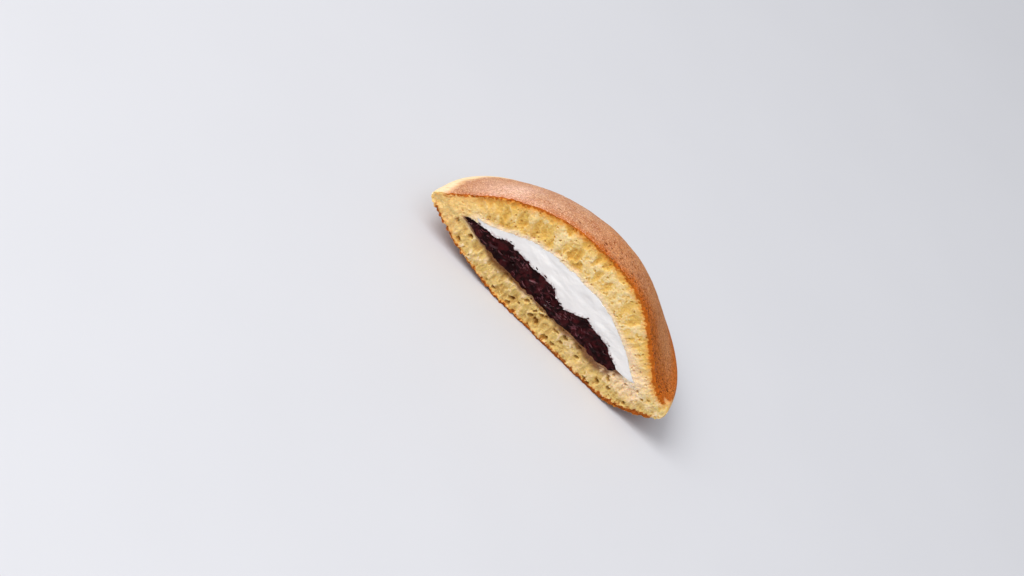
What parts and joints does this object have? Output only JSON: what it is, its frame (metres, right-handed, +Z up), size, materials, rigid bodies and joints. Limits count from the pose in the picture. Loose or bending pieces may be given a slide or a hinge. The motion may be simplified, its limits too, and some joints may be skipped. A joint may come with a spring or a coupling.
{
  "type": "dorayaki",
  "caption": "Halved dorayaki: domed pancakes pinched together at the rim around whipped cream and sweet bean paste, with crumb and filling open at the flat cut.",
  "frame": {"origin": "bottom centre of the bounding box: on the flat underside, halfway along the cut and halfway back", "axes": "+Z up from the base it rests on, +X along the cut's chord, and -Y out of the flat cut face"},
  "size_m": [0.093, 0.0466, 0.0375],
  "materials": {
    "upper_pancake": "matt sponge pancake with a browned, finely pitted top and a golden crumb",
    "lower_pancake": "matt sponge pancake, pale crumb over a thin browned underside",
    "whipped_cream": "soft off-white whipped cream",
    "bean_paste": "moist, dark red-brown mashed beans"
  },
  "bodies": {
    "root": {"upper_pancake": "upper_pancake", "lower_pancake": "lower_pancake", "whipped_cream": "whipped_cream", "bean_paste": "bean_paste"}
  },
  "joints": []
}
